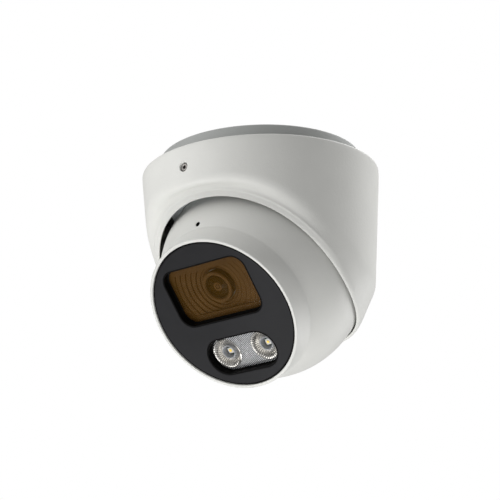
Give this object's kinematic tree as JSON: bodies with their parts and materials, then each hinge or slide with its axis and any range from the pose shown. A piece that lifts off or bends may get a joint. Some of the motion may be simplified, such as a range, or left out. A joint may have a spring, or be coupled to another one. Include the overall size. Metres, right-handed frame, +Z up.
{
  "type": "turret security camera",
  "caption": "Ceiling security camera: a ball with a lens and lights behind a black face tilts and turns in a slanted white cover on a round base.",
  "frame": {"origin": "centre of the round face that lies on the ceiling, on the pan axis", "axes": "+Z up along the pan axis, out of the ceiling face; -Y is the way the camera looks; +X is to the right for someone facing the camera"},
  "size_m": [0.122, 0.122, 0.1206],
  "materials": {
    "base_coat": "satin",
    "cover_coat": "satin",
    "shell_coat": "satin",
    "bezel_black": "satin",
    "brown_pane": "gloss",
    "clear_optic": "gloss",
    "lens_glass": "polished",
    "matte_black": "matte",
    "rubber": "matte",
    "grey_nylon": "matte",
    "steel": "satin",
    "dark_steel": "satin",
    "aluminium": "satin",
    "circuit_board": "satin",
    "sensor_package": "gloss",
    "led_package": "satin",
    "ribbon_film": "satin"
  },
  "bodies": {
    "base": {"mounting_base": "base_coat", "ceiling_seal": "rubber", "cable_grommet": "rubber"},
    "turret": {"cover": "cover_coat", "set_screw": "dark_steel", "pan_ring": "grey_nylon", "pan_ring_screw_1": "steel", "pan_ring_screw_2": "steel", "pan_ring_screw_3": "steel", "pan_ring_screw_4": "steel", "tilt_guide": "steel", "guide_screw_1": "steel", "guide_screw_2": "steel", "friction_pad": "rubber"},
    "tilt_collar": {"swivel_collar": "grey_nylon"},
    "ball": {"rear_shell": "shell_coat", "front_shell": "shell_coat", "shell_seal": "rubber", "collar_clip": "steel", "cable_gland": "rubber", "front_bezel": "bezel_black", "bezel_seal": "rubber", "lens_window": "brown_pane", "lens_baffle": "matte_black", "lens_barrel": "matte_black", "lens_front_element": "lens_glass", "lens_lock_ring": "dark_steel", "lens_holder": "matte_black", "sensor_board": "circuit_board", "image_sensor": "sensor_package", "led_lens": "clear_optic", "led_board": "circuit_board", "led_left": "led_package", "led_right": "led_package", "mic_boot": "rubber", "mic_capsule": "steel", "chassis": "aluminium", "front_screw_1": "steel", "front_screw_2": "steel", "front_screw_3": "steel", "front_screw_4": "steel", "main_board": "circuit_board", "heat_spreader": "aluminium", "standoff_1": "steel", "standoff_2": "steel", "standoff_3": "steel", "board_screw_1": "steel", "board_screw_2": "steel", "board_screw_3": "steel", "ribbon_cable": "ribbon_film"}
  },
  "joints": [
    {"name": "pan", "type": "hinge", "parent": "base", "child": "turret", "pos_m": [0, 0, 0], "axis": [0, 0, 1], "range_deg": [-180, 180]},
    {"name": "tilt", "type": "hinge", "parent": "turret", "child": "tilt_collar", "pos_m": [0, 0, -0.0618], "axis": [-1, 0, 0], "range_deg": [-50.2, 20]},
    {"name": "roll", "type": "hinge", "parent": "tilt_collar", "child": "ball", "pos_m": [0, 0, -0.0618], "axis": [0, -0.7683, -0.6401], "range_deg": [-180, 180]}
  ]
}
